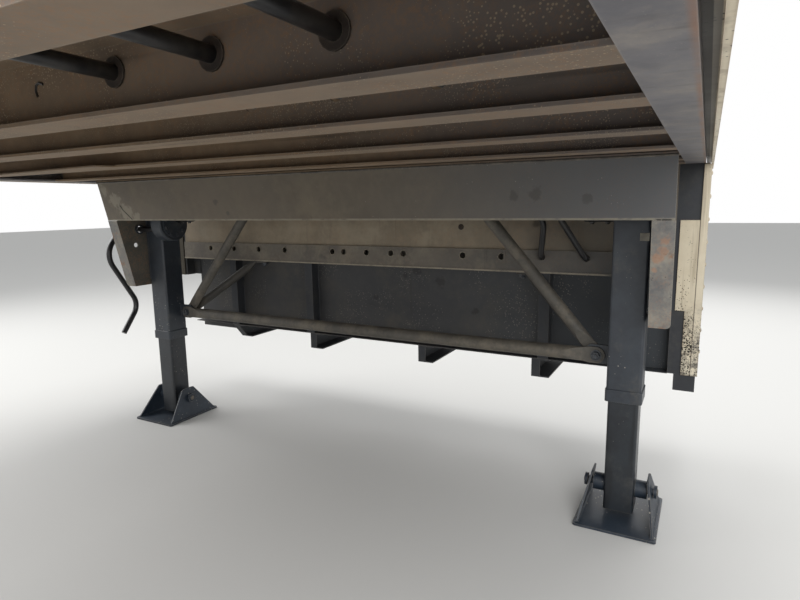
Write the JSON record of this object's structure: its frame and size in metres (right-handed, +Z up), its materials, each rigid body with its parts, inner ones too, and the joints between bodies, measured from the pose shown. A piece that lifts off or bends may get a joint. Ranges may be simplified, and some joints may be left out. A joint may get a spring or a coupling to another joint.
{
  "type": "semi trailer front underframe section with landing gear",
  "caption": "Raised front deck of a drop-frame trailer from below: floor beams, bulkhead, braced telescoping support legs with tilting shoes, and a folding crank on its gearbox.",
  "frame": {"origin": "top of the floor boards on the trailer's centre line, 21 mm behind the axis of the two legs", "axes": "+X forward along the trailer, +Y to the trailer's left, +Z up; the ground lies at Z -1.307"},
  "size_m": [2.34, 2.626, 1.307],
  "materials": {
    "dusty_steel": "dusty dark brown-grey paint",
    "dark_sheet": "dark charcoal paint with specks",
    "leg_paint": "worn charcoal paint with a blue sheen",
    "brace_paint": "dusty grey-brown paint",
    "black_paint": "black paint",
    "cream_paint": "peeling cream paint",
    "bare_steel": "dull steel with rust",
    "floor_wood": "weathered board",
    "black_plastic": "matt",
    "grommet_steel": "rusty"
  },
  "bodies": {
    "underframe": {"deck_floor": "floor_wood", "cross_member_1": "dusty_steel", "cross_member_2": "dusty_steel", "cross_member_3": "dusty_steel", "cross_member_4": "dusty_steel", "cross_member_5": "dusty_steel", "cross_member_6": "dusty_steel", "cross_member_7": "dusty_steel", "cross_member_8": "dusty_steel", "side_rail_left": "dusty_steel", "side_rail_right": "dusty_steel", "carrier_plate": "dusty_steel", "gusset_left": "dusty_steel", "gusset_right": "dusty_steel", "bulkhead_upper_sheet": "dusty_steel", "bolting_rail": "dusty_steel", "side_skin_left": "cream_paint", "side_skin_right": "cream_paint", "corner_covers": "cream_paint", "bulkhead_lower_sheet": "dark_sheet", "bulkhead_ribs": "dark_sheet", "bottom_longitudinals": "dark_sheet", "belly_floor": "dark_sheet", "corner_post_left": "dark_sheet", "corner_post_right": "dark_sheet", "leg_outer_left": "leg_paint", "leg_outer_right": "leg_paint", "gearbox": "leg_paint", "brace_horizontal": "brace_paint", "brace_diagonal_left": "brace_paint", "brace_diagonal_right": "brace_paint", "brace_drag_left": "brace_paint", "brace_drag_right": "brace_paint", "conduits": "black_plastic", "conduit_grommets": "grommet_steel"},
    "leg_left": {"inner_leg_left": "leg_paint", "shoe_axle_left": "bare_steel"},
    "leg_right": {"inner_leg_right": "leg_paint", "shoe_axle_right": "bare_steel"},
    "foot_left": {"shoe_left": "leg_paint"},
    "foot_right": {"shoe_right": "leg_paint"},
    "cross_shaft_body": {"cross_shaft": "black_paint", "shaft_couplings": "black_paint"},
    "crank": {"crank_shaft": "black_paint"},
    "handle": {"crank_handle": "black_paint"}
  },
  "joints": [
    {"name": "leg_left_slide", "type": "slide", "parent": "underframe", "child": "leg_left", "axis": [0, 0, 1], "range_m": [-0.15, 0.23]},
    {"name": "leg_right_slide", "type": "slide", "parent": "underframe", "child": "leg_right", "axis": [0, 0, 1], "range_m": [-0.15, 0.23]},
    {"name": "shoe_left_pivot", "type": "hinge", "parent": "leg_left", "child": "foot_left", "pos_m": [0.021, 1.084, -1.207], "axis": [0, 1, 0], "range_deg": [-20, 20]},
    {"name": "shoe_right_pivot", "type": "hinge", "parent": "leg_right", "child": "foot_right", "pos_m": [0.021, -1.084, -1.207], "axis": [0, 1, 0], "range_deg": [-20, 20]},
    {"name": "crank_turn", "type": "hinge", "parent": "underframe", "child": "crank", "pos_m": [0.104, -1.1, -0.352], "axis": [0, 1, 0], "continuous": true},
    {"name": "cross_shaft_turn", "type": "hinge", "parent": "underframe", "child": "cross_shaft_body", "pos_m": [0.021, 0, -0.295], "axis": [0, 1, 0], "continuous": true},
    {"name": "crank_fold", "type": "hinge", "parent": "crank", "child": "handle", "pos_m": [0.104, -1.318, -0.352], "axis": [-1, 0, 0], "range_deg": [0, 90]}
  ],
  "couplings": [
    {"joint": "leg_right_slide", "follows": "leg_left_slide", "ratio": 1},
    {"joint": "cross_shaft_turn", "follows": "crank_turn", "ratio": -0.3}
  ]
}
